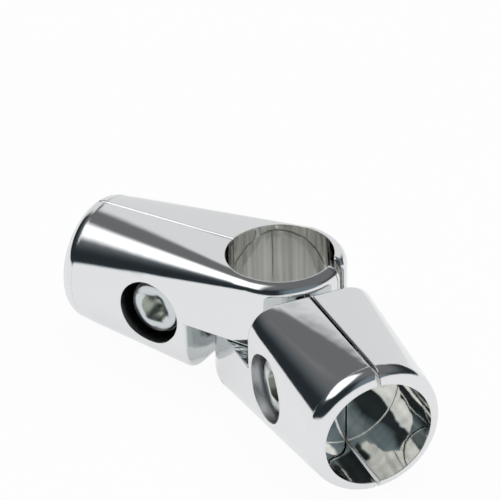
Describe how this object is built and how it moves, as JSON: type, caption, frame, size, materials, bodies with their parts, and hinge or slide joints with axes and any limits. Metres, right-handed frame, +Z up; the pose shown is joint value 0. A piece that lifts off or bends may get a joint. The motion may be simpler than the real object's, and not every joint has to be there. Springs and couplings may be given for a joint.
{
  "type": "profile pivot joint",
  "caption": "Chrome-plated swivel clamp joint: stacked two-half arms turn about an upright round tube, and each ends in a split socket for a tube of the same size.",
  "frame": {"origin": "where the axis of the upright clamp crosses the mid-height of the arms", "axes": "+Z up the upright tube, +X along the upper arm and out of its socket, +Y on the side of the upper arm that takes the screw's head"},
  "size_m": [0.1039, 0.0573, 0.0334],
  "materials": {
    "casting": "polished chrome plate on a zinc casting",
    "fastener": "bright zinc plate on steel"
  },
  "bodies": {
    "upper_arm": {"upper_head_side_half": "casting"},
    "upper_clamp": {"upper_nut_side_half": "casting", "upper_clamp_nut": "fastener"},
    "upper_screw": {"upper_clamp_screw": "fastener"},
    "lower_arm": {"lower_head_side_half": "casting"},
    "lower_clamp": {"lower_nut_side_half": "casting", "lower_clamp_nut": "fastener"},
    "lower_screw": {"lower_clamp_screw": "fastener"}
  },
  "joints": [
    {"name": "arm_pivot", "type": "hinge", "parent": "upper_arm", "child": "lower_arm", "pos_m": [0, 0, 0], "axis": [0, 0, 1], "range_deg": [-57.6, 124.4]},
    {"name": "upper_screw_turn", "type": "hinge", "parent": "upper_arm", "child": "upper_screw", "pos_m": [0.0266, 0, 0], "axis": [0, 1, 0], "range_deg": [-28.8, 144]},
    {"name": "upper_clamp_opening", "type": "slide", "parent": "upper_arm", "child": "upper_clamp", "axis": [0, -1, 0], "range_m": [-0.0001, 0.0005]},
    {"name": "lower_screw_turn", "type": "hinge", "parent": "lower_arm", "child": "lower_screw", "pos_m": [-0.02195, 0.01503, 0], "axis": [0.565, 0.8251, 0], "range_deg": [-100.8, 144]},
    {"name": "lower_clamp_opening", "type": "slide", "parent": "lower_arm", "child": "lower_clamp", "axis": [-0.565, -0.8251, 0], "range_m": [-0.00035, 0.0005]}
  ],
  "couplings": [
    {"joint": "upper_screw_turn", "follows": "upper_clamp_opening", "rad_per_m": 5026.5},
    {"joint": "lower_screw_turn", "follows": "lower_clamp_opening", "rad_per_m": 5026.5}
  ]
}
